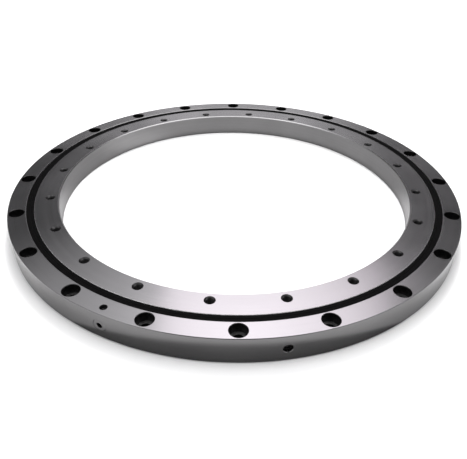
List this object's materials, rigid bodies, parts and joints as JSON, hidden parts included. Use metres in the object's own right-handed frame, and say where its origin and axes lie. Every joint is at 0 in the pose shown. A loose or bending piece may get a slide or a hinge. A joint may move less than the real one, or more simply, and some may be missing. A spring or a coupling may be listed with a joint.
{
  "type": "slewing ring bearing",
  "caption": "Thin crossed roller slewing ring: a counterbored outer ring turns about a tapped inner ring on crossed rollers, sealed both sides.",
  "frame": {"origin": "on the bearing's axis, in the plane of the inner ring's lower face, which is the lowest face", "axes": "+Z along the bearing's axis, towards the counterbored face; -Y at the outer bolt hole nearest the front"},
  "size_m": [0.48, 0.4799, 0.026],
  "materials": {
    "outer_ring_steel": "ground faces, fine turned rim",
    "inner_ring_steel": "ground faces, fine turned bore",
    "seal_rubber": "smooth moulded nitrile, slight sheen",
    "roller_steel": "ground and polished bearing steel",
    "spacer_plastic": "natural moulded nylon",
    "plug_steel": "ground flush with the ring",
    "nipple_steel": "blackened steel, lightly oiled",
    "spring_steel": "drawn spring wire"
  },
  "bodies": {
    "outer_ring_assembly": {"grease_nipple_1": "nipple_steel", "grease_nipple_2": "nipple_steel", "grease_nipple_3": "nipple_steel", "grease_nipple_4": "nipple_steel", "loading_plug": "plug_steel", "lower_seal": "seal_rubber", "nipple_ball_1": "roller_steel", "nipple_ball_2": "roller_steel", "nipple_ball_3": "roller_steel", "nipple_ball_4": "roller_steel", "nipple_spring_1": "spring_steel", "nipple_spring_2": "spring_steel", "nipple_spring_3": "spring_steel", "nipple_spring_4": "spring_steel", "outer_ring": "outer_ring_steel", "plug_taper_pin": "plug_steel", "upper_seal": "seal_rubber"},
    "inner_ring_assembly": {"inner_ring": "inner_ring_steel"},
    "rolling_set": {"rollers_inward_1": "roller_steel", "rollers_inward_2": "roller_steel", "rollers_inward_3": "roller_steel", "rollers_inward_4": "roller_steel", "rollers_inward_5": "roller_steel", "rollers_inward_6": "roller_steel", "rollers_inward_7": "roller_steel", "rollers_outward_1": "roller_steel", "rollers_outward_2": "roller_steel", "rollers_outward_3": "roller_steel", "rollers_outward_4": "roller_steel", "rollers_outward_5": "roller_steel", "rollers_outward_6": "roller_steel", "rollers_outward_7": "roller_steel", "spacers_inward_1": "spacer_plastic", "spacers_inward_2": "spacer_plastic", "spacers_inward_3": "spacer_plastic", "spacers_inward_4": "spacer_plastic", "spacers_inward_5": "spacer_plastic", "spacers_inward_6": "spacer_plastic", "spacers_inward_7": "spacer_plastic", "spacers_outward_1": "spacer_plastic", "spacers_outward_2": "spacer_plastic", "spacers_outward_3": "spacer_plastic", "spacers_outward_4": "spacer_plastic", "spacers_outward_5": "spacer_plastic", "spacers_outward_6": "spacer_plastic", "spacers_outward_7": "spacer_plastic"}
  },
  "joints": [
    {"name": "inner_ring_spin", "type": "hinge", "parent": "outer_ring_assembly", "child": "inner_ring_assembly", "pos_m": [0, 0, 0.013], "axis": [0, 0, 1], "continuous": true},
    {"name": "rolling_set_orbit", "type": "hinge", "parent": "outer_ring_assembly", "child": "rolling_set", "pos_m": [0, 0, 0.013], "axis": [0, 0, 1], "continuous": true}
  ],
  "couplings": [
    {"joint": "rolling_set_orbit", "follows": "inner_ring_spin", "ratio": 0.49342}
  ]
}
